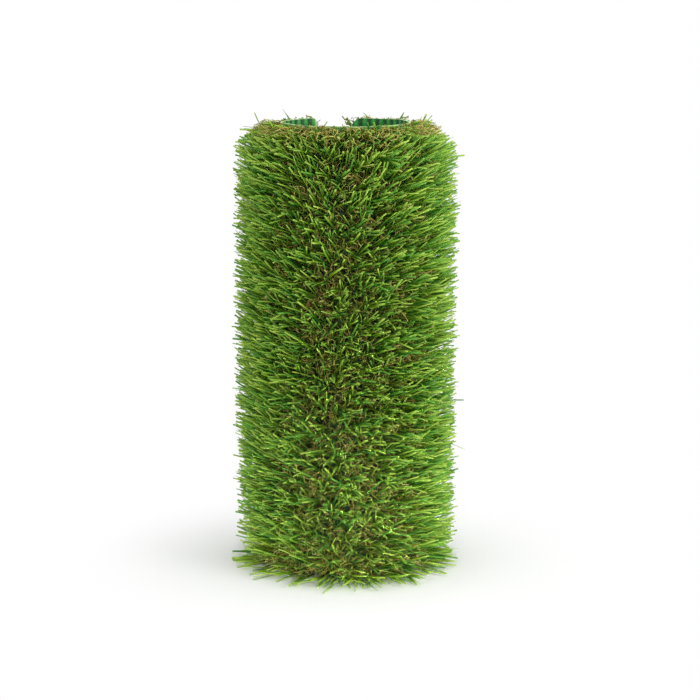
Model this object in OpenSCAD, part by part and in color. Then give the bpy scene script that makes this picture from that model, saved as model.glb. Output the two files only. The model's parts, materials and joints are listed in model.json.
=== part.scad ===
// Strip of artificial turf, rolled once with its pile outwards and stood on a cut edge.
// The roll's axis is Z, the floor is Z = 0, and the seam between the cut ends is at the back (+Y).

/* [Strip] */
// Width of the cut strip, which is the height of the standing roll
strip_w = 300; // [150:5:600]
// Thickness of the backing sheet with its latex coat
backing_t = 2; // [1:0.25:4]
// Radius of the hollow that the strip is bent round
hollow_r = 41.5; // [30:0.5:80]

/* [Seam] */
// Gap between the two cut ends of the backing
seam_gap = 24; // [14:1:40]
// Gap left between the blade tips, where the pile of both ends splays into the seam
mouth_gap = 10; // [4:1:12]
// Angle by which the seam is turned to the left of straight back
seam_turn = 11; // [0:1:60]
// Radius worn off the top corner at the left end of the strip
left_wear_r = 4; // [1:0.5:8]
// Radius worn off the top corner at the right end of the strip
right_wear_r = 8; // [1:0.5:10]

/* [Pile] */
// Depth of the curled thatch at the roots of the pile
thatch_d = 13.5; // [6:0.5:20]
// Depth of the whole pile, from the backing straight out to the blade tips
pile_d = 31.5; // [24:0.5:50]
// Drop of the pile below the top cut edge of the backing
pile_drop = 1; // [0.5:0.5:5]
// Radius that the blade tips round off towards the top edge
crown_r = 17; // [4:1:20]
// Depth by which the lowest blades draw in at the floor
foot_tuck = 5; // [1:0.5:8]
// Height over which the pile widens from there to its full depth
foot_h = 14; // [6:1:40]

/* [Tufts] */
// Number of stitched rows of tufts round the roll
row_count = 38; // [20:1:44]
// Number of tufts up a row
tuft_count = 24; // [10:1:30]
// Share of the row spacing that a tuft fills at its root
tuft_root_share = 0.7; // [0.4:0.05:0.9]
// Width of a tuft at its tip
tuft_tip_w = 1.5; // [1:0.25:3]
// Lean of the tufts above level, next to the floor
foot_lean = 8; // [0:1:15]
// Lean of the tufts above level, next to the top edge
top_lean = 30; // [15:1:35]

/* [Hidden] */
$fn = 180;

backing_r = hollow_r + backing_t;
thatch_r = backing_r + thatch_d;
tip_r = backing_r + pile_d;
pile_top = strip_w - pile_drop;

// Thickness of the web of spread blades that joins the tufts over the thatch
web_t = 1;
web_r = thatch_r + web_t;

// Height of the rail that joins the tufts of a row, and depth to which it sits in the web
rail_h = 0.8;
rail_hold = 0.5;
rail_r = web_r + rail_h;

// Setback of the lowest and the highest tuft from the edges of the pile
tuft_inset = 1;

// Number of rows after which the count of tufts repeats. Rows differ by one tuft, so the tufts of
// neighbouring rows don't stand in rings.
row_cycle = 3;

// Number of rows at each end of the strip that splay into the seam
splay_rows = 3;

// Reach that the highest tufts keep past the rails
crown_land = 1;
crown = min(crown_r, tip_r - rail_r - crown_land);

// Radius of a worn or rounded edge as a share of its setback, so that the round meets both faces at an angle
blunt_share = 1.06;

// Length by which every cut runs past what it cuts
overrun = 1;

// Plain upright ring, open along its axis
module ring(inner_r, outer_r, height) {
    rotate_extrude()
        translate([inner_r, 0])
            square([outer_r - inner_r, height]);
}

// What wear takes off a square top corner of the strip. The corner is at the origin, and the strip lies
// to its right and below it.
module worn_corner(wear_r) {
    difference() {
        translate([-overrun, -wear_r])
            square([wear_r + overrun, wear_r + overrun]);
        translate([wear_r, -wear_r])
            circle(wear_r * blunt_share);
    }
}

// Opening between the cut ends of the backing, seen from the front, with its two worn corners
module seam_window() {
    translate([-seam_gap / 2, -overrun])
        square([seam_gap, strip_w + 2 * overrun]);
    translate([seam_gap / 2, strip_w])
        worn_corner(right_wear_r);
    translate([-seam_gap / 2, strip_w])
        mirror([1, 0])
            worn_corner(left_wear_r);
}

// Cut that opens the backing at the back of the roll
module backing_cut() {
    rotate([0, 0, seam_turn])
        translate([0, backing_r + overrun, 0])
            rotate([90, 0, 0])
                linear_extrude(backing_r + overrun)
                    seam_window();
}

// Half of the seam's plan in the pile, as wide as the gap in the backing and narrowing to its mouth
function seam_side(side) = [
    [side * seam_gap / 2, 0],
    [side * seam_gap / 2, backing_r],
    [side * mouth_gap / 2, tip_r],
    [side * mouth_gap / 2, tip_r + overrun],
];

// Cut that parts the pile at the back of the roll
module pile_cut() {
    far_side = seam_side(-1);
    rotate([0, 0, seam_turn])
        translate([0, 0, -overrun])
            linear_extrude(strip_w + 2 * overrun)
                polygon(concat(seam_side(1), [for (i = [len(far_side) - 1 : -1 : 0]) far_side[i]]));
}

// Half of the seam's width at the web, and the angle from the seam's middle to the web's cut edge
seam_half = seam_gap / 2 - (seam_gap - mouth_gap) / 2 * (web_r - backing_r) / (tip_r - backing_r);
seam_edge = asin(seam_half / web_r);

// Angle from row to row, and from the seam's middle to the first row
row_turn = (360 - 2 * seam_edge) / row_count;
first_turn = seam_edge + row_turn / 2;
tuft_root_w = tuft_root_share * web_r * row_turn * PI / 180;

// Sideways reach of the first row's tips towards the seam, which leaves the mouth between both ends
end_splay = (tip_r * sin(first_turn) - (mouth_gap + tuft_tip_w) / 2) / cos(first_turn);

// Sideways reach of a row's tips: full in the rows next to the seam, none from there on
function row_splay(row) =
    end_splay * (max(0, 1 - (row_count - 1 - row) / splay_rows) - max(0, 1 - row / splay_rows));

// Radius that the tips reach at a height: drawn in at the foot, upright, and rounded off at the top edge
function tip_reach(z) =
    let (over = max(0, z - pile_top + crown), under = max(0, foot_h - z))
    tip_r - crown + sqrt(max(0, crown * crown - over * over)) - foot_tuck * under / foot_h;

// Rise of a tuft from its root's middle to its tip, by the lean at that height, less where the top edge is near
function tuft_rise(z) =
    let (lean = foot_lean + (top_lean - foot_lean) * z / pile_top, room = pile_top - z)
    let (rise = (tip_reach(z) - rail_r) * tan(lean))
    rise * room / (rise + room);

// Outline of one row of tufts, seen from its side: a rail with a leaning tooth for each tuft
module tuft_outline(count) {
    pitch = (pile_top - 2 * tuft_inset) / count;
    teeth = [
        for (tuft = [0 : count - 1])
            let (root = tuft_inset + tuft * pitch, middle = root + pitch / 2, tip = middle + tuft_rise(middle))
            each [[rail_r, root], [tip_reach(tip), tip]]
    ];
    hold_r = web_r - rail_hold;
    polygon(concat(
        [[hold_r, tuft_inset]],
        teeth,
        [[rail_r, pile_top - tuft_inset], [hold_r, pile_top - tuft_inset]]
    ));
}

// Plan of one row of tufts, from its wide root to its narrow tip
module tuft_plan(splay) {
    reach = sqrt(tip_r * tip_r - splay * splay);
    half_root = tuft_root_w / 2;
    half_tip = tuft_tip_w / 2;
    polygon([
        [web_r - rail_hold - overrun, -half_root],
        [web_r, -half_root],
        [reach, splay - half_tip],
        [reach, splay + half_tip],
        [web_r, half_root],
        [web_r - rail_hold - overrun, half_root],
    ]);
}

// One row of tufts, standing out along +X
module tuft_row(row) {
    splay = row_splay(row);
    intersection() {
        rotate([90, 0, 0])
            linear_extrude(2 * (tuft_root_w + abs(splay)), center = true)
                tuft_outline(tuft_count + row % row_cycle - 1);
        translate([0, 0, -overrun])
            linear_extrude(strip_w + 2 * overrun)
                tuft_plan(splay);
    }
}

// Backing sheet, bent into one open turn
module backing() {
    color("#1c8048")
        difference() {
            ring(hollow_r, backing_r, strip_w);
            backing_cut();
        }
}

// Curled yarn that lies round the roots of the blades
module thatch() {
    color("#8c7440")
        difference() {
            ring(backing_r, thatch_r, pile_top);
            pile_cut();
        }
}

// Straight yarn that stands out past the thatch, in tufts on their stitched rows
module blades() {
    color("#5f9a2e") {
        difference() {
            ring(thatch_r, web_r, pile_top);
            pile_cut();
        }
        for (row = [0 : row_count - 1])
            rotate([0, 0, 90 + seam_turn + first_turn + row * row_turn])
                tuft_row(row);
    }
}

backing();
thatch();
blades();
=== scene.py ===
"""Roll of artificial turf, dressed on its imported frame: ribbed backing, curled thatch and ribbon blades."""

import json
import math

import bmesh
import bpy
import numpy as np
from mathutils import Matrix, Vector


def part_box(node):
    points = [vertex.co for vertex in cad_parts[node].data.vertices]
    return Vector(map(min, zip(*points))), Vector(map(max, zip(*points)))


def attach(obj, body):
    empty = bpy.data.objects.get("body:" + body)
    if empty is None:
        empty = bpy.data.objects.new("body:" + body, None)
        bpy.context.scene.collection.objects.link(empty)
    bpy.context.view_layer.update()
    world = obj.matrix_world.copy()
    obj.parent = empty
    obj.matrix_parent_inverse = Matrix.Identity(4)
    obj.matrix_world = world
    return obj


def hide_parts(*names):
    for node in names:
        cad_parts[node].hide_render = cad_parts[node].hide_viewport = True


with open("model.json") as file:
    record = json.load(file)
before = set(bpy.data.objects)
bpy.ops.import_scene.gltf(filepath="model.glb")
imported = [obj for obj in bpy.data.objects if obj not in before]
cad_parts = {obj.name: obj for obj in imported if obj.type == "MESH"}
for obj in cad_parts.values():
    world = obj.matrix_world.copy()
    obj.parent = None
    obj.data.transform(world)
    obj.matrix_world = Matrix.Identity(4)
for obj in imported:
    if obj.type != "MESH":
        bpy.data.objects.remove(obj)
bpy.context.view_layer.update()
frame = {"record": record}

MM = 0.001
FULL_TURN = 2 * math.pi
QUARTER_TURN = math.pi / 2
UP = np.array([0.0, 0.0, 1.0])
WHITE = (1, 1, 1, 1)
BLACK = (0, 0, 0, 1)

# Map of each strand's tone across and length along. The yarns read it.
BAKE_MAP = "OFBake"

# Sizes of the roll, from the frame
mounts = {mount["name"]: mount for mount in frame["record"]["mounts"]}
hollow_r = mounts["hollow"]["dims"]["r_mm"] * MM
strip_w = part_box("backing")[1].z
backing_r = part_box("backing")[1].x
thatch_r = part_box("thatch")[1].x
tip_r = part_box("blades")[1].x
pile_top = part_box("thatch")[1].z

# The seam at the back of the roll and the worn top corners beside it, as in the frame's solids
SEAM_GAP = 24 * MM
SEAM_TURN = math.radians(11)
LEFT_WEAR = 4 * MM
RIGHT_WEAR = 8 * MM
seam_angle = QUARTER_TURN + SEAM_TURN
seam_half = math.asin(SEAM_GAP / 2 / backing_r)
strip_start = seam_angle + seam_half
strip_angle = FULL_TURN - 2 * seam_half

# Outline of the pile: rounded and bevelled at the top edge, drawn in at the foot
CROWN_R = 17 * MM
BEVEL_R = 55 * MM
BEVEL_SLOPE = 0.6
FOOT_TUCK = 5 * MM
FOOT_H = 14 * MM

# Stitches that hold the tufts, how far tufts and strands stray from them, in shares of the pitch, and how
# far from the pile's edges their roots keep
ROWS = 38
STITCHES = 46
TUFT_ASIDE_SHARE = 0.08
TUFT_RISE_SHARE = 0.12
STRAND_SHARE = 0.10
ROOT_INSET = 1.5 * MM
row_pitch = strip_angle / ROWS
stitch_pitch = strip_w / STITCHES


class Value:
    """One socket of a finish. Sums with numbers and other values add the Math nodes for them."""

    def __init__(self, finish, socket):
        self.finish = finish
        self.socket = socket

    def maths(self, operation, first, second):
        """A Math node on two values, or on a value and a number."""
        return self.finish.node("ShaderNodeMath", {"operation": operation}, {0: first, 1: second})

    def __add__(self, other):
        return self.maths("ADD", self, other)

    def __sub__(self, other):
        return self.maths("SUBTRACT", self, other)

    def __rsub__(self, other):
        return self.maths("SUBTRACT", other, self)

    def __mul__(self, other):
        return self.maths("MULTIPLY", self, other)

    __radd__ = __add__
    __rmul__ = __mul__

    def most(self, other):
        """The larger of two values."""
        return self.maths("MAXIMUM", self, other)

    def step(self, low, high):
        """0 below low, 1 above high, with a smooth rise between them."""
        settings = {"interpolation_type": "SMOOTHSTEP"}
        values = {"Value": self, "From Min": low, "From Max": high}
        return self.finish.node("ShaderNodeMapRange", settings, values)


class Nodes:
    """A node tree that plain calls fill."""

    def __init__(self, tree):
        self.tree = tree

    def node(self, kind, settings, values, output=0):
        """Adds a node, sets it, fills or links its sockets and gives back one of its outputs."""
        made = self.tree.nodes.new(kind)
        for name, setting in settings.items():
            if name == "stops":
                self.set_stops(made.color_ramp, setting)
            else:
                setattr(made, name, setting)
        for socket, value in values.items():
            self.fill(made.inputs[socket], value)
        return Value(self, made.outputs[output])

    def set_stops(self, ramp, stops):
        """Puts the stops, each a place and a colour, on a ramp."""
        while len(ramp.elements) < len(stops):
            ramp.elements.new(1.0)
        for element, (place, colour) in zip(ramp.elements, stops):
            element.position = place
            element.color = (*colour, 1.0)

    def fill(self, socket, value):
        """Links a value to a socket, or sets the socket to a plain number or colour."""
        if isinstance(value, Value):
            self.tree.links.new(value.socket, socket)
        else:
            socket.default_value = value

    def seen(self):
        """1 for what the camera, gloss and glass see, and 0 for the light that falls on the roll."""
        kinds = ("Is Camera Ray", "Is Glossy Ray", "Is Transmission Ray")
        camera, gloss, glass = [self.node("ShaderNodeLightPath", {}, {}, kind) for kind in kinds]
        return camera.most(gloss).most(glass)


# Sockets of a Mix node for colours. Their names repeat, so they go by number.
MIX_SHARE = 0
MIX_FIRST = 6
MIX_SECOND = 7
MIX_COLOUR = 2


class Finish(Nodes):
    """A material round one Principled shader."""

    def __init__(self, name):
        self.material = bpy.data.materials.new(name)
        self.material.use_nodes = True
        super().__init__(self.material.node_tree)
        self.shader = self.tree.nodes["Principled BSDF"]

    def surface(self, **values):
        """Fills the shader's own sockets, with their names in lower case and _ for a space."""
        names = {name.lower().replace(" ", "_"): name for name in self.shader.inputs.keys()}
        for name, value in values.items():
            self.fill(self.shader.inputs[names[name]], value)

    def mixed(self, share, first, second):
        """Colour between two colours."""
        values = {MIX_SHARE: share, MIX_FIRST: first, MIX_SECOND: second}
        return self.node("ShaderNodeMix", {"data_type": "RGBA"}, values, MIX_COLOUR)

    def map_parts(self):
        """The two directions of the piece's own map: its tone across and its length along."""
        place = self.node("ShaderNodeUVMap", {"uv_map": BAKE_MAP}, {})
        tone = self.node("ShaderNodeSeparateXYZ", {}, {"Vector": place}, "X")
        along = self.node("ShaderNodeSeparateXYZ", {}, {"Vector": place}, "Y")
        return tone, along


# Parts of a strand's length over which its root's painted shade fades out and its tip's painted light fades
# in
ROOT_SHADE_FADE = (0.15, 0.6)
TIP_LIGHT_FADE = (0.55, 1.0)
TONE_PLACES = (0.0, 0.5, 1.0)
YARN_ROUGHNESS = 0.5
YARN_SHEEN = 0.14
YARN_GLOSS = 0.18


def grown_yarn(name, tones, root, tip, tip_light_share):
    """Finish of a yarn: its own tone in each strand, with painted shade darkening it at the root and painted
    light paling it at the cut tip.
    """
    finish = Finish(name)
    tone, along = finish.map_parts()
    stops = list(zip(TONE_PLACES, tones))
    body = finish.node("ShaderNodeValToRGB", {"stops": stops}, {"Fac": tone})
    # Painted shade darkens each strand towards its root, and painted light pales it towards its tip
    root_shaded = finish.mixed(along.step(*ROOT_SHADE_FADE), root, body)
    tip_lit = finish.mixed(along.step(*TIP_LIGHT_FADE) * tip_light_share, root_shaded, tip)
    roughness = YARN_ROUGHNESS - YARN_SHEEN * along * tone
    finish.surface(base_color=tip_lit, roughness=roughness, specular_ior_level=YARN_GLOSS)
    return finish.material


def rolled(radius, angle, height):
    """Points at these radii, angles and heights on the roll."""
    return np.stack([radius * np.cos(angle), radius * np.sin(angle), height + 0 * radius], axis=-1)


def outward(angle):
    """Level directions straight out of the roll at these angles."""
    return rolled(np.ones(len(angle)), angle, np.zeros(len(angle)))


def unit(vectors):
    """The same directions at length 1."""
    return vectors / np.linalg.norm(vectors, axis=-1, keepdims=True)


def frontal(angle):
    """1 straight in front, 0 at both sides and behind."""
    return np.clip(-np.sin(angle), 0, 1) ** 2


# A strand has two edges and a keel, which differ a little in tone
SIDES = 3
TONE_SPREAD = np.array([-0.006, 0.006, 0.0])

# Keeps the level direction of a strand that stands straight up from being nothing
NUDGE = 1e-9


def strands_mesh(name, lines, widths, keels, rolls, tones, material):
    """One mesh of closed three-sided strands: flat ribbons with a low keel along one face.

    lines holds the points along each strand's middle, widths and keels a size at each of them,
    rolls the turn of the ribbon there and tones one number for each strand.
    """
    count, rings = lines.shape[:2]
    ahead = unit(np.gradient(lines, axis=1))
    level = unit(np.cross(ahead, np.broadcast_to(UP, ahead.shape)) + NUDGE)
    steep = np.cross(level, ahead)
    turn = rolls[..., None]
    across = level * np.cos(turn) + steep * np.sin(turn)
    keel = np.cross(ahead, across)
    half = across * widths[..., None] / 2
    corners = np.stack([lines - half, lines + half, lines + keel * keels[..., None]], axis=2)

    ring = np.arange(rings - 1)[:, None] * SIDES
    side = np.arange(SIDES)[None, :]
    after = (side + 1) % SIDES
    walls = np.stack([ring + side, ring + after, ring + SIDES + after, ring + SIDES + side], axis=-1)
    walls = walls.reshape(-1, walls.shape[-1])
    last = (rings - 1) * SIDES
    root_cap = [0, 2, 1]
    tip_cap = [last, last + 1, last + 2]
    loops = np.concatenate([walls.ravel(), root_cap, tip_cap])
    sizes = np.concatenate([np.full(len(walls), walls.shape[1]), [len(root_cap), len(tip_cap)]])
    starts = np.concatenate([[0], np.cumsum(sizes)[:-1]])

    verts = rings * SIDES
    shift = np.arange(count)[:, None]
    all_loops = (loops[None, :] + shift * verts).ravel()
    all_starts = (starts[None, :] + shift * len(loops)).ravel()

    mesh = bpy.data.meshes.new(name)
    mesh.vertices.add(count * verts)
    mesh.vertices.foreach_set("co", corners.reshape(-1).astype(np.float32))
    mesh.loops.add(len(all_loops))
    mesh.loops.foreach_set("vertex_index", all_loops.astype(np.int32))
    mesh.polygons.add(len(all_starts))
    mesh.polygons.foreach_set("loop_start", all_starts.astype(np.int32))
    mesh.update(calc_edges=True)

    tone_at = tones[:, None] + TONE_SPREAD[loops % SIDES][None, :]
    along_at = np.broadcast_to((loops // SIDES / (rings - 1))[None, :], tone_at.shape)
    places = np.stack([tone_at, along_at], axis=-1)
    layer = mesh.uv_layers.new(name=BAKE_MAP)
    layer.uv.foreach_set("vector", places.reshape(-1).astype(np.float32))

    mesh.materials.append(material)
    piece = bpy.data.objects.new(name, mesh)
    bpy.context.scene.collection.objects.link(piece)
    return piece


def seat(piece, node):
    """Lets a new piece ride on the roll in place of the node, which it hides."""
    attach(piece, "root")
    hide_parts(node)


def make_strands(shapes, yarns, tip_light_share, node):
    """One mesh for each yarn, of the strands whose kind is below its limit and not below the one before."""
    *parts, kind = shapes
    past = 0.0
    for name, yarn in yarns.items():
        chosen = (kind >= past) & (kind < yarn["up_to"])
        material = grown_yarn(yarn["finish"], yarn["tones"], yarn["root"], yarn["tip"], tip_light_share)
        seat(strands_mesh(name, *[part[chosen] for part in parts], material), node)
        past = yarn["up_to"]


def tuft_roots(rng, per_tuft):
    """Angle, height and number of the tuft for every strand, on the grid of rows and stitches."""
    row, stitch = np.meshgrid(np.arange(ROWS), np.arange(STITCHES), indexing="ij")
    angle = strip_start + (row.ravel() + 0.5) * row_pitch
    height = (stitch.ravel() + 0.5) * stitch_pitch
    angle = angle + rng.normal(0, TUFT_ASIDE_SHARE, angle.shape) * row_pitch
    height = height + rng.normal(0, TUFT_RISE_SHARE, height.shape) * stitch_pitch
    tuft = np.repeat(np.arange(len(angle)), per_tuft)
    angle = angle[tuft] + rng.normal(0, STRAND_SHARE, tuft.shape) * row_pitch
    height = height[tuft] + rng.normal(0, STRAND_SHARE, tuft.shape) * stitch_pitch
    return angle, np.clip(height, ROOT_INSET, pile_top - ROOT_INSET), tuft


def crown_height(radius):
    """Height that the pile's tips reach at this radius, bevelled and rounded off at the top edge."""
    out = np.clip((radius - (tip_r - CROWN_R)) / CROWN_R, 0, 1)
    round_drop = CROWN_R * (1 - np.sqrt(1 - out**2))
    bevel_drop = BEVEL_SLOPE * np.clip(radius - BEVEL_R, 0, tip_r - BEVEL_R)
    return pile_top - np.maximum(round_drop, bevel_drop)


def end_distance(angle):
    """Signed distance along the strip to its nearer cut end, below zero at the far end."""
    along = (angle - strip_start) * backing_r
    length = strip_angle * backing_r
    return np.where(along < length / 2, along, along - length)


# Waves over the strip: how many, how often each goes round, how much it slants up the strip, and the
# divisor that keeps their sum mostly under 1
WAVES = 6
WAVE_ROUNDS = (2, 9)
WAVE_SLANT = 70
WAVE_DIVISOR = 3


def waves(angle, height, seed):
    """A smooth rise and fall over the strip, mostly between -1 and 1."""
    rng = np.random.default_rng(seed)
    total = np.zeros_like(angle)
    for _ in range(WAVES):
        round_count = rng.integers(*WAVE_ROUNDS)
        along = rng.uniform(-WAVE_SLANT, WAVE_SLANT)
        total += np.sin(round_count * angle + along * height + rng.uniform(0, FULL_TURN))
    return total / WAVE_DIVISOR


def strand_turns(rng, count, twist, share):
    """Turn of each ribbon round its own line: any turn at its root, and a twist from there on."""
    return rng.uniform(0, FULL_TURN, count)[:, None] + rng.normal(0, twist, count)[:, None] * share


# Range that the strands' tones fill, and shares of field green and lime blades. The rest are deep green.
TONES = (0.03, 0.97)
FIELD_SHARE = 0.42
LIME_SHARE = 0.30

# Blades: how many to a tuft, and their sizes, with the width along a blade in shares
BLADE_SEED = 7
BLADES_PER_TUFT = 6
BLADE_LENGTH = 37.5 * MM
BLADE_LENGTH_SCATTER = 2.0 * MM
SHORTEST_BLADE = 28 * MM
LONGEST_BLADE = 41 * MM
BLADE_WIDTH = 1.4 * MM
BLADE_WIDTH_SCATTER = 0.15 * MM
THINNEST_BLADE = 1.0 * MM
WIDEST_BLADE = 1.8 * MM
BLADE_TAPER_SHARES = np.array([0.7, 0.95, 1.0, 0.96, 0.74])
BLADE_KEEL = 0.28 * MM
BLADE_TWIST = 0.5
BLADE_ROOT_SINK = 0.5 * MM

# Lean of the pile above the level, at heights up the roll
LEAN_HEIGHTS = np.array([0, 25, 60, 110, 160, 220, 270, 300]) * MM
LEAN = np.radians([26, 32, 31, 29, 29, 31, 33, 24])

# Scatter of the blades' directions, sideways and up, for whole tufts and for single blades
TUFT_SCATTER = np.array([0.18, 0.09])
BLADE_SCATTER = np.array([0.20, 0.11])

# Ways that the pile is combed: aside all round, in waves, down on the right and in front, and into the seam
COMBED_ASIDE = 0.10
ASIDE_WAVE = 0.10
ASIDE_WAVE_SEED = 21
RISE_WAVE = 0.08
RISE_WAVE_SEED = 22
COMBED_DOWN_RIGHT = 0.11
COMBED_DOWN_FRONT = 0.14
COMBED_DOWN_DEPTH = 120 * MM
SEAM_SPLAY = 0.35
SEAM_SPLAY_LENGTH = 9 * MM

# Bend of a blade towards its tip, across and up, and its droop
BEND = np.array([0.13, 0.13, 0.08])
DROOP = 0.09

# Share of blades that are cut short, and their lengths in shares
SHORT_SHARE = 0.14
SHORT_LENGTH_SHARES = (0.6, 0.9)

# Blades that stray past the others
STRAY_SHARE = 0.012
STRAY_REACH = 6 * MM
STRAY_SCATTER = 2.5

# How thin the pile gets next to the top edge and next to the floor, in shares of its blades
BARE_TOP_SHARE = 0.42
BARE_TOP_DEPTH = 20 * MM
BARE_FOOT_SHARE = 0.25
BARE_FOOT_HEIGHT = 22 * MM

# How near to the pile's outline the tips end. A blade that passes it is trimmed step by step.
TIP_SLACK = 0.2 * MM
TIP_SLACK_SCATTER = 1.1 * MM
CROWN_INSET = 0.5 * MM
CROWN_SLACK_SHARE = 0.9
TRIM_SHARE = 0.95
TRIM_STEPS = 40
STUB_LENGTH = 6 * MM


def combed(rng, angle, height, tuft, stray):
    """Directions of blades with these roots: leaning up, scattered, combed and splayed into the seam."""
    count = len(angle)
    tufts = tuft.max() + 1
    out = outward(angle)
    side = outward(angle + QUARTER_TURN)
    lean = np.interp(height, LEAN_HEIGHTS, LEAN)
    ahead = out * np.cos(lean)[:, None] + UP * np.sin(lean)[:, None]
    lift = np.cross(ahead, side)

    tuft_turn = TUFT_SCATTER * rng.normal(0, 1, (tufts, 2))[tuft]
    freedom = np.where(stray, STRAY_SCATTER, 1.0)[:, None]
    turn = tuft_turn + BLADE_SCATTER * rng.normal(0, 1, (count, 2)) * freedom
    turn[:, 0] += COMBED_ASIDE + ASIDE_WAVE * waves(angle, height, ASIDE_WAVE_SEED)
    turn[:, 1] += RISE_WAVE * waves(angle, height, RISE_WAVE_SEED)
    below_top = np.clip((pile_top - height) / COMBED_DOWN_DEPTH, 0, 1)
    turn[:, 1] -= below_top * (COMBED_DOWN_RIGHT * np.cos(angle) + COMBED_DOWN_FRONT * frontal(angle))
    end = end_distance(angle)
    turn[:, 0] -= np.sign(end) * SEAM_SPLAY * np.exp(-np.abs(end) / SEAM_SPLAY_LENGTH)
    return unit(ahead + side * turn[:, 0:1] + lift * turn[:, 1:2])


def trimmed(root, ahead, bend, length, slack):
    """Lengths at which the blades' tips stay in the outline of the pile, give or take their slack."""
    for _ in range(TRIM_STEPS):
        tip = root + length[:, None] * (ahead + bend)
        tip_out = np.hypot(tip[:, 0], tip[:, 1])
        tuck = FOOT_TUCK * np.clip(1 - tip[:, 2] / FOOT_H, 0, 1)
        too_high = tip[:, 2] > crown_height(tip_out) - CROWN_INSET + CROWN_SLACK_SHARE * slack
        too_far = tip_out > tip_r - tuck + slack
        length = np.where(too_high | too_far, length * TRIM_SHARE, length)
    return length


def blade_shapes(rng, root, ahead, bend, length):
    """Middle lines, widths, keels, turns, tones and kinds of blades with these roots and directions."""
    count = len(root)
    share = np.linspace(0, 1, len(BLADE_TAPER_SHARES))
    path = share[None, :, None] * ahead[:, None, :] + share[None, :, None] ** 2 * bend[:, None, :]
    lines = root[:, None, :] + length[:, None, None] * path
    width = np.clip(rng.normal(BLADE_WIDTH, BLADE_WIDTH_SCATTER, count), THINNEST_BLADE, WIDEST_BLADE)
    lines[..., 2] = np.maximum(lines[..., 2], width[:, None] / 2)
    widths = width[:, None] * BLADE_TAPER_SHARES[None, :]
    keels = BLADE_KEEL * BLADE_TAPER_SHARES[None, :] * np.ones((count, 1))
    rolls = strand_turns(rng, count, BLADE_TWIST, share)
    tones = rng.uniform(*TONES, count)
    kind = rng.random(count)
    return lines, widths, keels, rolls, tones, kind


def standing_blades():
    """Shapes of the blades that stand on their stitches."""
    rng = np.random.default_rng(BLADE_SEED)
    angle, height, tuft = tuft_roots(rng, BLADES_PER_TUFT)
    bare_top = BARE_TOP_SHARE * np.clip(1 - (pile_top - height) / BARE_TOP_DEPTH, 0, 1)
    bare_foot = BARE_FOOT_SHARE * np.clip(1 - height / BARE_FOOT_HEIGHT, 0, 1)
    bare = rng.random(len(angle)) < np.maximum(bare_top, bare_foot)
    angle, height, tuft = angle[~bare], height[~bare], tuft[~bare]
    count = len(angle)
    root = rolled(np.full(count, backing_r - BLADE_ROOT_SINK), angle, height)
    stray = rng.random(count) < STRAY_SHARE
    ahead = combed(rng, angle, height, tuft, stray)

    bend = rng.normal(0, 1, (count, 3)) * BEND
    bend[:, 2] -= DROOP
    bend -= ahead * np.sum(bend * ahead, axis=1, keepdims=True)
    length = rng.normal(BLADE_LENGTH, BLADE_LENGTH_SCATTER, count)
    length = np.clip(length, SHORTEST_BLADE, LONGEST_BLADE)
    short = rng.random(count) < SHORT_SHARE
    length *= np.where(short, rng.uniform(*SHORT_LENGTH_SHARES, count), 1.0)
    slack = rng.normal(TIP_SLACK, TIP_SLACK_SCATTER, count) + np.where(stray, STRAY_REACH, 0)
    length = trimmed(root, ahead, bend, length, slack)
    keep = length > STUB_LENGTH
    return blade_shapes(rng, root[keep], ahead[keep], bend[keep], length[keep])


# Loose blades: how many lie on the floor, and at which angles some stand at the rim
LOOSE_SEED = 13
LOOSE_ALL_ROUND = 90
LOOSE_IN_FRONT = 100
LOOSE_FRONT_SPREAD = 0.6
LOOSE_AT_RIM = np.radians([-72, -20, 25, 70, 140, 175, 215])

# Their roots and lengths, and how far out they may reach
LOOSE_ROOT_RADII = (46 * MM, 58 * MM)
LOOSE_FLOOR_HEIGHTS = (1 * MM, 4 * MM)
LOOSE_RIM_DEPTH = 4 * MM
LOOSE_FLOOR_LENGTHS = (18 * MM, 34 * MM)
LOOSE_RIM_LENGTHS = (9 * MM, 14 * MM)
LOOSE_REACH = 79 * MM
LOOSE_FRONT_REACH = 88 * MM
LOOSE_TRIM_STEPS = 20

# Their directions, and the share of pale ones
LOOSE_FLOOR_RISE = 0.03
LOOSE_FLOOR_RISE_SCATTER = 0.05
LOOSE_RIM_RISES = (1.0, 2.0)
LOOSE_ASIDE = 0.45
LOOSE_BEND = 0.12
LOOSE_BEND_SHARES = np.array([1, 1, 0.3])
LOOSE_PALE_SHARE = 0.6


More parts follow.
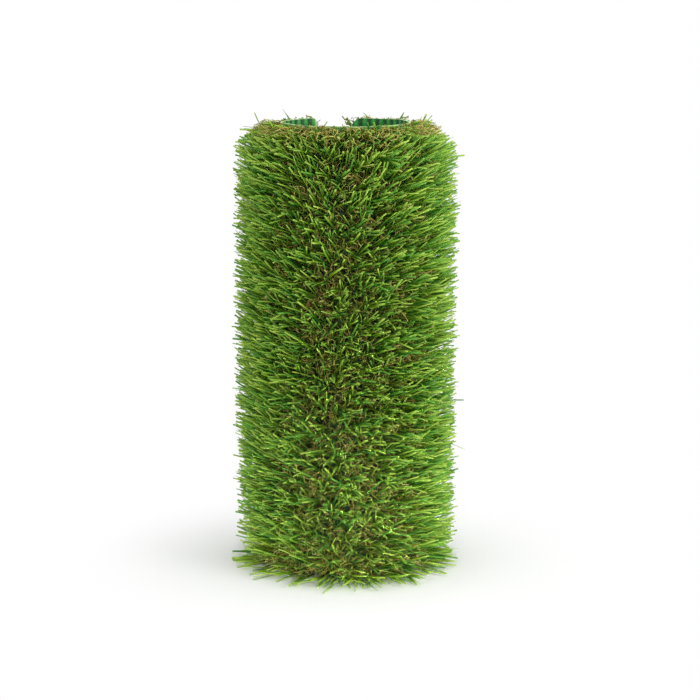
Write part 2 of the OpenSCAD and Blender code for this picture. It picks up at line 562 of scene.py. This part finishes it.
def loose_blades():
    """Shapes of loose blades caught in the pile's edges: lying on the floor, or standing past the rim."""
    rng = np.random.default_rng(LOOSE_SEED)
    all_round = rng.uniform(0, FULL_TURN, LOOSE_ALL_ROUND)
    in_front = rng.normal(-QUARTER_TURN, LOOSE_FRONT_SPREAD, LOOSE_IN_FRONT)
    angle = np.concatenate([all_round, in_front, LOOSE_AT_RIM])
    count = len(angle)
    flat = np.arange(count) < LOOSE_ALL_ROUND + LOOSE_IN_FRONT
    height = np.where(flat, rng.uniform(*LOOSE_FLOOR_HEIGHTS, count), pile_top - LOOSE_RIM_DEPTH)
    root = rolled(rng.uniform(*LOOSE_ROOT_RADII, count), angle, height)
    floor_rise = rng.normal(LOOSE_FLOOR_RISE, LOOSE_FLOOR_RISE_SCATTER, count)
    rise = np.where(flat, floor_rise, rng.uniform(*LOOSE_RIM_RISES, count))
    aside = outward(angle + QUARTER_TURN) * rng.normal(0, LOOSE_ASIDE, (count, 1))
    ahead = unit(outward(angle) + aside + UP * rise[:, None])
    bend = rng.normal(0, LOOSE_BEND, (count, 3)) * LOOSE_BEND_SHARES
    floor_length = rng.uniform(*LOOSE_FLOOR_LENGTHS, count)
    length = np.where(flat, floor_length, rng.uniform(*LOOSE_RIM_LENGTHS, count))
    reach = LOOSE_REACH + (LOOSE_FRONT_REACH - LOOSE_REACH) * frontal(angle)
    for _ in range(LOOSE_TRIM_STEPS):
        tip = root + length[:, None] * (ahead + bend)
        length = np.where(np.hypot(tip[:, 0], tip[:, 1]) > reach, length * TRIM_SHARE, length)
    *shapes, kind = blade_shapes(rng, root, ahead, bend, length)
    pale = rng.random(count) < LOOSE_PALE_SHARE
    return *shapes, np.where(pale, FIELD_SHARE, kind)


# Yarns of the blades: the kinds that each one takes, its tones from dark to pale, its root colour, a painted
# shade deep in the pile, and its tip colour, a painted light where the tips are lit through
BLADE_TIP_LIGHT_SHARE = 0.55
BLADE_YARNS = {
    "blades_field": {
        "up_to": FIELD_SHARE,
        "finish": "field green yarn",
        "tones": [(0.050, 0.165, 0.010), (0.100, 0.290, 0.016), (0.180, 0.420, 0.024)],
        "root": (0.115, 0.145, 0.03, 1),
        "tip": (0.39, 0.61, 0.075, 1),
    },
    "blades_lime": {
        "up_to": FIELD_SHARE + LIME_SHARE,
        "finish": "lime yarn",
        "tones": [(0.145, 0.325, 0.014), (0.240, 0.450, 0.021), (0.355, 0.560, 0.035)],
        "root": (0.15, 0.18, 0.035, 1),
        "tip": (0.54, 0.74, 0.15, 1),
    },
    "blades_deep": {
        "up_to": 1.0,
        "finish": "deep green yarn",
        "tones": [(0.024, 0.125, 0.010), (0.046, 0.225, 0.021), (0.080, 0.310, 0.031)],
        "root": (0.075, 0.105, 0.025, 1),
        "tip": (0.20, 0.46, 0.06, 1),
    },
}


def make_blades():
    """The blades in three yarns, each one mesh."""
    shapes = [np.concatenate(parts) for parts in zip(standing_blades(), loose_blades())]
    make_strands(shapes, BLADE_YARNS, BLADE_TIP_LIGHT_SHARE, "blades")


# Strands of the thatch: how many, and their sizes
THATCH_SEED = 11
THATCH_PER_TUFT = 7
THATCH_AT_RIM = 400
THATCH_AT_FOOT = 200
THATCH_RINGS = 8
THATCH_WIDTH = 0.75 * MM
THATCH_WIDTH_SHARES = (0.7, 1.3)
THATCH_KEEL = 0.25 * MM
THATCH_TWIST = 0.9

# Their roots, shifted off the stitches by a share of the pitch. Those near the top edge are lifted to it.
THATCH_RIM_DEPTH = 2 * MM
THATCH_FOOT_HEIGHT = 3 * MM
THATCH_SHIFT_SHARE = 0.5
THATCH_LOWEST = 2 * MM
THATCH_TOP_DEPTHS = (0.2 * MM, 3 * MM)
NEAR_TOP_DEPTH = 12 * MM
LIFTED_PAST_SHARE = 0.45
LIFTED_DEPTHS = (0, 2 * MM)
THATCH_ROOT_SINK = 0.3 * MM

# Their directions and reach, calmer near the top edge
THATCH_RISE = 0.15
THATCH_SCATTER = 0.45
CALM_RISE_SHARE = 0.7
THATCH_REACH_SHARES = (0.6, 1.75)
THATCH_FOOT_REACH_SHARE = 1.2

# Their curls: radius, number of turns, and the crimp on top of them
COIL_RADII = (1.4 * MM, 3.2 * MM)
CALM_COIL_SHARE = 0.55
COIL_TURNS = (0.8, 2.0)
CRIMP = 0.35 * MM

# How far they keep from the backing and the floor, and how far spikes and curls rise past the top edge
BACKING_CLEARANCE = 0.2 * MM
FLOOR_CLEARANCE = 0.6 * MM
SPIKE_SHARE = 0.3
SPIKE_RISES = (1.2 * MM, 3.2 * MM)
CURL_RISES = (-1 * MM, 1.5 * MM)
RIM_RISE = 1.0 * MM

# Yarns of the thatch, as for the blades, with painted shade at the root and painted light at the tip. At the
# rim and the foot the kinds shift towards tan.
TAN_SHIFT_SHARE = 0.9
THATCH_TIP_LIGHT_SHARE = 0.4
THATCH_YARNS = {
    "thatch_tan": {
        "up_to": 0.22,
        "finish": "tan thatch yarn",
        "tones": [(0.41, 0.35, 0.08), (0.56, 0.51, 0.13), (0.73, 0.68, 0.22)],
        "root": (0.32, 0.26, 0.06, 1),
        "tip": (0.64, 0.54, 0.20, 1),
    },
    "thatch_brown": {
        "up_to": 0.42,
        "finish": "brown thatch yarn",
        "tones": [(0.20, 0.15, 0.034), (0.34, 0.265, 0.055), (0.50, 0.38, 0.09)],
        "root": (0.20, 0.15, 0.03, 1),
        "tip": (0.46, 0.34, 0.10, 1),
    },
    "thatch_olive": {
        "up_to": 0.71,
        "finish": "olive thatch yarn",
        "tones": [(0.192, 0.228, 0.024), (0.336, 0.396, 0.048), (0.504, 0.564, 0.084)],
        "root": (0.15, 0.17, 0.024, 1),
        "tip": (0.46, 0.50, 0.10, 1),
    },
    "thatch_moss": {
        "up_to": 1.0,
        "finish": "moss green thatch yarn",
        "tones": [(0.084, 0.156, 0.018), (0.168, 0.288, 0.036), (0.288, 0.432, 0.060)],
        "root": (0.09, 0.14, 0.02, 1),
        "tip": (0.30, 0.42, 0.07, 1),
    },
}


def keep_inside_pile(rng, lines, at_rim):
    """Moves curled strands out of the backing, down to the top edge and up from the floor."""
    count = len(lines)
    inner = np.hypot(lines[..., 0], lines[..., 1])
    push = np.maximum(backing_r + BACKING_CLEARANCE - inner, 0) / inner
    lines[..., :2] *= 1 + push[..., None]

    spiky = rng.random(count) < SPIKE_SHARE
    spike_rise = rng.uniform(*SPIKE_RISES, count)
    curl_rise = rng.uniform(*CURL_RISES, count)
    past_edge = np.where(spiky, spike_rise, curl_rise)[:, None]
    past_edge += np.where(at_rim, RIM_RISE, 0.0)[:, None]
    outer = np.hypot(lines[..., 0], lines[..., 1])
    excess = (lines[..., 2] - crown_height(outer) - past_edge).max(axis=1)
    lines[..., 2] -= np.maximum(excess, 0)[:, None]
    shortfall = FLOOR_CLEARANCE - lines[..., 2].min(axis=1)
    lines[..., 2] += np.maximum(shortfall, 0)[:, None]


def thatch_roots(rng):
    """Angles and heights of curled strands, how near the top they are, and which are at rim and foot."""
    angle, height, _ = tuft_roots(rng, THATCH_PER_TUFT)
    counts = [len(angle), THATCH_AT_RIM, THATCH_AT_FOOT]
    at_rim = np.repeat([False, True, False], counts)
    at_foot = np.repeat([False, False, True], counts)
    along = rng.uniform(0, strip_angle, THATCH_AT_RIM + THATCH_AT_FOOT)
    angle = np.concatenate([angle, strip_start + along])
    height = np.concatenate([height, np.zeros(len(along))])
    height = np.where(at_rim, pile_top - THATCH_RIM_DEPTH, np.where(at_foot, THATCH_FOOT_HEIGHT, height))
    count = len(angle)
    angle = angle + rng.uniform(-THATCH_SHIFT_SHARE, THATCH_SHIFT_SHARE, count) * row_pitch
    height = height + rng.uniform(-THATCH_SHIFT_SHARE, THATCH_SHIFT_SHARE, count) * stitch_pitch
    height = np.clip(height, THATCH_LOWEST, pile_top - rng.uniform(*THATCH_TOP_DEPTHS, count))
    near_top = np.clip(1 - (pile_top - height) / NEAR_TOP_DEPTH, 0, 1)
    lifted = pile_top - rng.uniform(*LIFTED_DEPTHS, count)
    height = np.where(near_top > LIFTED_PAST_SHARE, lifted, height)
    return angle, height, near_top, at_rim, at_foot


def thatch_shapes():
    """Shapes of the curled strands, as for the blades."""
    rng = np.random.default_rng(THATCH_SEED)
    angle, height, near_top, at_rim, at_foot = thatch_roots(rng)
    count = len(angle)
    root = rolled(np.full(count, backing_r - THATCH_ROOT_SINK), angle, height)
    rise = rng.normal(THATCH_RISE, THATCH_SCATTER, count) * (1 - CALM_RISE_SHARE * near_top)
    aside = outward(angle + QUARTER_TURN) * rng.normal(0, THATCH_SCATTER, (count, 1))
    ahead = unit(outward(angle) + aside + UP * rise[:, None])
    first = unit(np.cross(ahead, unit(rng.normal(0, 1, (count, 3)))))
    second = np.cross(ahead, first)
    second *= np.where((near_top > 0) & (second[:, 2] > 0), -1, 1)[:, None]

    reach = rng.uniform(*THATCH_REACH_SHARES, count) * (thatch_r - backing_r)
    reach *= np.where(at_foot, THATCH_FOOT_REACH_SHARE, 1.0)
    coil = rng.uniform(*COIL_RADII, count) * (1 - CALM_COIL_SHARE * near_top)
    turns = rng.uniform(*COIL_TURNS, count) * FULL_TURN
    share = np.linspace(0, 1, THATCH_RINGS)
    phase = share[None, :, None] * turns[:, None, None]
    swing = np.sin(phase) * first[:, None, :] + (1 - np.cos(phase)) * second[:, None, :]
    lines = root[:, None, :] + share[None, :, None] * reach[:, None, None] * ahead[:, None, :]
    lines = lines + coil[:, None, None] * swing
    lines += np.cumsum(rng.normal(0, CRIMP, lines.shape), axis=1)
    keep_inside_pile(rng, lines, at_rim)

    widths = THATCH_WIDTH * rng.uniform(*THATCH_WIDTH_SHARES, (count, 1)) * np.ones((1, THATCH_RINGS))
    keels = THATCH_KEEL * np.ones((count, THATCH_RINGS))
    rolls = strand_turns(rng, count, THATCH_TWIST, share)
    tones = rng.uniform(*TONES, count)
    kind = rng.random(count) * np.where(at_rim | at_foot, TAN_SHIFT_SHARE, 1.0)
    return lines, widths, keels, rolls, tones, kind


def make_thatch():
    """The curled yarn in four colours, each one mesh."""
    make_strands(thatch_shapes(), THATCH_YARNS, THATCH_TIP_LIGHT_SHARE, "thatch")


# The backing's stitch ribs, and its steps round the roll and up it
RIB_DEPTH = 1.0 * MM
RIB_ROW_SHARE = 0.7
RIB_STITCH_SHARE = 0.3
SPIN_PER_ROW = 6
STEPS_PER_STITCH = 4

# Its frayed rim, how far that is uneven and how far down the wear of a corner runs
FRAY = 0.6 * MM
FRAY_INSIDE_SHARE = 1 / 3
FRAY_TALLEST = 1.0 * MM
LEFT_FRAY = 2.2 * MM
UNEVEN = 0.25 * MM
UNEVEN_SEED = 31
WEAR_RUN = 3

# Its outside: heights of its steps in shares, its lip under the rim, and how high it counts as a rib for the
# coat's painted shade: lit at the lip and darkened below it, as in shade under the pile
OUTSIDE_LEVEL_SHARES = (0.75, 0.5, 0.25, 0)
LIP_STEP = 6 * MM
LIP = 4 * MM
LIP_RIB = 0.8
OUTSIDE_SHADED_RIB = 0.1

# Keeps points on the first cut end from counting as the last
END_SLACK = 0.01

# Colours and finish of the latex coat, with painted shade in the grooves between the stitch ribs and on the
# outside under the pile
MOTTLE_SCALE = 420.0
MOTTLE_DETAIL = 4.0
MOTTLE_MIDDLE = 0.5
MOTTLE_SHARE = 0.5
GROOVE_SHADE_TO_RIB = (0.1, 0.9)
GROOVE_SHADE_GREEN = (0.010, 0.085, 0.014, 1)
RIB_GREEN = (0.045, 0.39, 0.06, 1)
FRAY_FADE = (0.3, 0.7)
FRAY_GREEN = (0.34, 0.58, 0.20, 1)
FRAY_PALE = (0.58, 0.74, 0.34, 1)
COAT_ROUGHNESS = 0.42
COAT_ROUGHNESS_MOTTLE = 0.25


def latex_coat():
    """Finish of the backing: mottled green latex, with painted shade darkening it between the stitch ribs and
    on the outside under the pile, and pale at cut edges.
    """
    finish = Finish("latex coated backing")
    place = finish.node("ShaderNodeTexCoord", {}, {}, "Object")
    grain = {"Vector": place, "Scale": MOTTLE_SCALE, "Detail": MOTTLE_DETAIL}
    mottle = finish.node("ShaderNodeTexNoise", {}, grain)
    rib = finish.node("ShaderNodeAttribute", {"attribute_name": "rib"}, {}, "Fac")
    cut = finish.node("ShaderNodeAttribute", {"attribute_name": "cut"}, {}, "Fac")
    # Painted shade: the coat darkens towards the grooves between the ribs and on the outside below the lip
    height = (rib + MOTTLE_SHARE * (mottle - MOTTLE_MIDDLE)).step(*GROOVE_SHADE_TO_RIB)
    green = finish.mixed(height, GROOVE_SHADE_GREEN, RIB_GREEN)
    fray = finish.mixed(mottle.step(*FRAY_FADE), FRAY_GREEN, FRAY_PALE)
    coat = finish.mixed(cut, green, fray)
    finish.surface(base_color=coat, roughness=COAT_ROUGHNESS + COAT_ROUGHNESS_MOTTLE * mottle)
    return finish.material


def strip_profile():
    """Section of the strip from its bottom edge up the inside and down the outside, with the fray lines."""
    heights = np.linspace(0, strip_w, STITCHES * STEPS_PER_STITCH + 1)
    inside = [(hollow_r, z) for z in heights]
    inside.insert(len(inside) - 1, (hollow_r, strip_w - FRAY * FRAY_INSIDE_SHARE))
    rim_levels = [strip_w, strip_w - FRAY, strip_w - LIP_STEP]
    outside = [(backing_r, z) for z in rim_levels]
    outside += [(backing_r, strip_w * share) for share in OUTSIDE_LEVEL_SHARES]
    return inside + outside


def strip_mesh():
    """The plain bent strip, spun round the hollow from one cut end to the other."""
    shape = bmesh.new()
    across, along = math.cos(strip_start), math.sin(strip_start)
    corners = [shape.verts.new((r * across, r * along, z)) for r, z in strip_profile()]
    section = shape.faces.new(corners)
    steps = ROWS * SPIN_PER_ROW
    swept = [section, *section.edges, *section.verts]
    bmesh.ops.spin(shape, geom=swept, cent=(0, 0, 0), axis=(0, 0, 1), angle=strip_angle, steps=steps)
    bmesh.ops.recalc_face_normals(shape, faces=shape.faces)
    mesh = bpy.data.meshes.new("backing_ribbed")
    shape.to_mesh(mesh)
    shape.free()
    return mesh


def rise_and_fall(place, pitch):
    """0 at every whole pitch and 1 midway between them."""
    return 0.5 - 0.5 * np.cos(FULL_TURN * place / pitch)


def rim_drop(angle, end):
    """Drop of the rim at these angles and distances to the cut ends, and the wear of the nearer corner."""
    wear = np.where(end > 0, LEFT_WEAR, RIGHT_WEAR)
    short = np.clip(1 - np.abs(end) / wear, 0, 1)
    drop = wear * (1 - np.sqrt(1 - short**2)) + UNEVEN * (1 + waves(angle, 0 * angle, UNEVEN_SEED))
    return drop, wear


def mark_ribs(mesh, spots, inside, rib):
    """Gives each point the height of its rib, which the coat reads as painted shade: dark in the grooves, and
    on the outside dark below the lip, as in shade under the pile.
    """
    outside_shade = np.where(spots[:, 2] > strip_w - LIP, LIP_RIB, OUTSIDE_SHADED_RIB)
    ribs = mesh.attributes.new("rib", "FLOAT", "POINT")
    ribs.data.foreach_set("value", np.where(inside, rib, outside_shade))


def mark_cuts(mesh, spots, end):
    """Marks the faces of the rim, the bottom edge and both cut ends, and the fray beside the left one."""
    heights = [[spots[i, 2] for i in face.vertices] for face in mesh.polygons]
    tall = np.array([max(levels) - min(levels) for levels in heights])
    starts = np.array([max(end[i] for i in face.vertices) for face in mesh.polygons])
    left_fray = (starts > 0) & (starts < LEFT_FRAY)
    cuts = mesh.attributes.new("cut", "FLOAT", "FACE")
    cuts.data.foreach_set("value", (tall < FRAY_TALLEST) | (tall > strip_w / 2) | left_fray)


def make_backing():
    """The bent strip: stitch ribs up its inside, an uneven frayed rim and two worn corners."""
    mesh = strip_mesh()
    spots = np.zeros(len(mesh.vertices) * 3)
    mesh.vertices.foreach_get("co", spots)
    spots = spots.reshape(-1, 3)
    radius = np.hypot(spots[:, 0], spots[:, 1])
    turn = np.arctan2(spots[:, 1], spots[:, 0]) - strip_start
    angle = np.mod(turn + END_SLACK, FULL_TURN) - END_SLACK
    inside = radius < (hollow_r + backing_r) / 2
    stitch_wave = rise_and_fall(spots[:, 2], stitch_pitch)
    rib = rise_and_fall(angle, row_pitch) * (RIB_ROW_SHARE + RIB_STITCH_SHARE * stitch_wave)
    sunk = np.where(inside, radius + RIB_DEPTH * (1 - rib), radius)
    spots[:, :2] *= (sunk / radius)[:, None]

    end = end_distance(angle + strip_start)
    drop, wear = rim_drop(angle, end)
    spots[:, 2] -= drop * np.clip(1 - (strip_w - spots[:, 2]) / (WEAR_RUN * wear), 0, 1)
    mesh.vertices.foreach_set("co", spots.ravel())

    mark_ribs(mesh, spots, inside, rib)
    mark_cuts(mesh, spots, end)
    mesh.materials.append(latex_coat())
    piece = bpy.data.objects.new("backing_ribbed", mesh)
    bpy.context.scene.collection.objects.link(piece)
    seat(piece, "backing")
    strip_angle * (hollow_r + backing_r) / 2


# The floor: pale with a soft shadow round the roll, and from there on seen as pure white
FLOOR_R = 12.0
FLOOR_SEGMENTS = 96
FLOOR_PALE = (0.9, 0.9, 0.9, 1)
FLOOR_ROUGHNESS = 0.9
FLOOR_FADE = (0.075, 0.19)


def make_stage():
    """A plain pale floor under the roll."""
    shape = bmesh.new()
    bmesh.ops.create_circle(shape, cap_ends=True, segments=FLOOR_SEGMENTS, radius=FLOOR_R)
    mesh = bpy.data.meshes.new("floor")
    shape.to_mesh(mesh)
    shape.free()
    floor = bpy.data.objects.new("floor", mesh)
    bpy.context.scene.collection.objects.link(floor)
    finish = Finish("white floor")
    place = finish.node("ShaderNodeTexCoord", {}, {}, "Object")
    away = finish.node("ShaderNodeVectorMath", {"operation": "LENGTH"}, {0: place}, "Value")
    glow = away.step(*FLOOR_FADE) * finish.seen()
    finish.surface(base_color=finish.mixed(glow, FLOOR_PALE, BLACK), roughness=FLOOR_ROUGHNESS)
    finish.surface(specular_ior_level=0.0, emission_strength=1.0)
    finish.surface(emission_color=finish.mixed(glow, BLACK, WHITE))
    mesh.materials.append(finish.material)


# Strength of the even light that falls on the roll
WORLD_LIGHT = 0.68


def make_world():
    """Even white light all round, seen as pure white behind the roll."""
    world = bpy.data.worlds.new("white studio")
    bpy.context.scene.world = world
    world.use_nodes = True
    world.node_tree.nodes.clear()
    sky = Nodes(world.node_tree)
    light = sky.node("ShaderNodeBackground", {}, {"Color": WHITE, "Strength": WORLD_LIGHT})
    white = sky.node("ShaderNodeBackground", {}, {"Color": WHITE, "Strength": 1.0})
    shown = sky.node("ShaderNodeMixShader", {}, {0: sky.seen(), 1: light, 2: white})
    out = world.node_tree.nodes.new("ShaderNodeOutputWorld")
    sky.fill(out.inputs["Surface"], shown)


# Lamps: place and target in metres, size across, power in watts and spread in degrees
ROLL_MIDDLE = (0.0, 0.0, 0.15)
ROLL_FOOT = (0.0, 0.0, 0.03)
BELOW_FOOT = (0.0, 0.0, -0.03)
OPEN_SPREAD = 180
FOOT_SPREAD = 7
LAMPS = {
    "right lamp": ((1.0, -0.7, 0.5), ROLL_MIDDLE, 0.7, 7.4, OPEN_SPREAD),
    "left lamp": ((-1.1, -0.6, 0.6), ROLL_MIDDLE, 0.7, 0.4, OPEN_SPREAD),
    "top lamp": ((0.0, 0.05, 1.5), ROLL_MIDDLE, 0.8, 6.2, OPEN_SPREAD),
    "front lamp": ((0.0, -1.6, 0.1), ROLL_FOOT, 0.8, 9.2, OPEN_SPREAD),
    "foot lamp": ((0.0, -1.5, 0.2), BELOW_FOOT, 0.25, 0.12, FOOT_SPREAD),
}


def add_lamp(name, place, target, size, power, spread):
    """A round soft lamp. One with a narrow spread only fills, so gloss doesn't show it."""
    lamp = bpy.data.lights.new(name, "AREA")
    lamp.shape = "DISK"
    lamp.size = size
    lamp.energy = power
    lamp.spread = math.radians(spread)
    holder = bpy.data.objects.new(name, lamp)
    holder.location = place
    holder.visible_glossy = spread == OPEN_SPREAD
    aim = np.array(target) - np.array(place)
    yaw = math.atan2(aim[1], aim[0]) - QUARTER_TURN
    pitch = math.atan2(aim[2], math.hypot(aim[0], aim[1]))
    holder.rotation_euler = (QUARTER_TURN + pitch, 0, yaw)
    bpy.context.scene.collection.objects.link(holder)


def make_lamps():
    """Plain soft studio light, strongest from the right and the front."""
    for name, lamp in LAMPS.items():
        add_lamp(name, *lamp)


# The camera: place in metres, dip below the level, lens and sensor in millimetres
CAMERA_PLACE = (0.003, -1.3, 0.3872)
CAMERA_DIP = math.radians(10.53)
CAMERA_LENS = 100.1
CAMERA_SENSOR = 36.0
CAMERA_NEAREST = 0.05


def make_camera():
    """The photo's view: from the front and a little above."""
    camera = bpy.data.cameras.new("camera")
    camera.lens = CAMERA_LENS
    camera.sensor_width = CAMERA_SENSOR
    camera.clip_start = CAMERA_NEAREST
    holder = bpy.data.objects.new("camera", camera)
    holder.location = CAMERA_PLACE
    holder.rotation_euler = (QUARTER_TURN - CAMERA_DIP, 0, 0)
    bpy.context.scene.collection.objects.link(holder)
    bpy.context.scene.camera = holder


make_camera()
make_world()
make_lamps()
make_stage()
make_backing()
make_thatch()
make_blades()

bpy.context.scene.view_settings.view_transform = "Standard"
